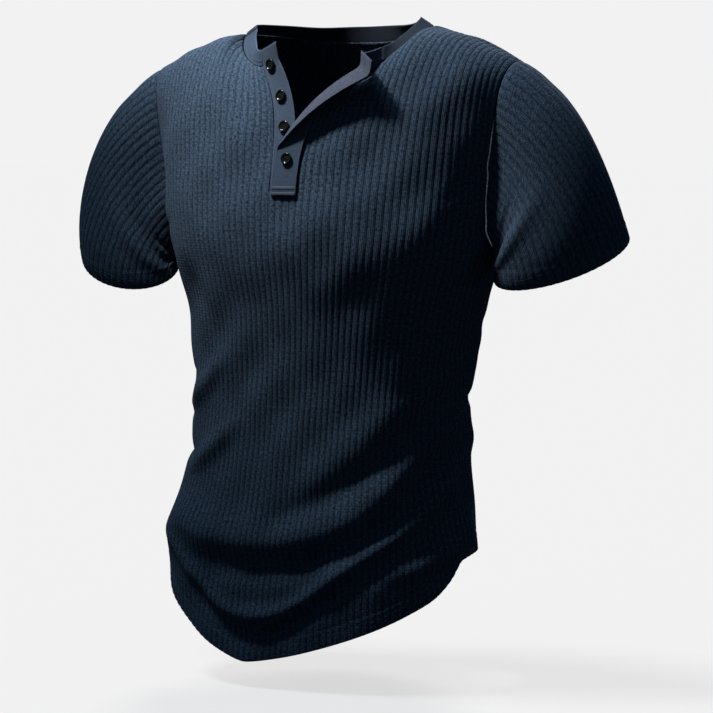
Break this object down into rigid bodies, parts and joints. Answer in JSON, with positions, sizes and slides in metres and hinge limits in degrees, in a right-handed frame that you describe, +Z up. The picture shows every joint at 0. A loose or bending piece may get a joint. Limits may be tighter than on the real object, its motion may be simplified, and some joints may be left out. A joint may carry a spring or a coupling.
{
  "type": "henley shirt",
  "caption": "Short-sleeved rib-knit henley shirt, worn and hollow, with an open button placket, plain neckband and curved shirt-tail hem.",
  "frame": {"origin": "middle of the neck base, level with the neck points of the two shoulder seams, where the wearer's shoulders carry the shirt", "axes": "+X to the wearer's left, -Y to the front, +Z up"},
  "size_m": [0.6703, 0.2455, 0.6931],
  "materials": {
    "rib_knit": "matte rib knit, dark navy blue",
    "plain_knit": "matte plain knit, slate navy",
    "buttons": "polished near-black with a faint olive tint"
  },
  "bodies": {
    "root": {"front": "rib_knit", "back": "rib_knit", "sleeve_left": "rib_knit", "sleeve_right": "rib_knit", "neckband": "plain_knit", "button_band": "plain_knit", "buttonhole_band": "plain_knit", "button_1": "buttons", "button_2": "buttons", "button_3": "buttons", "button_4": "buttons"}
  },
  "joints": []
}
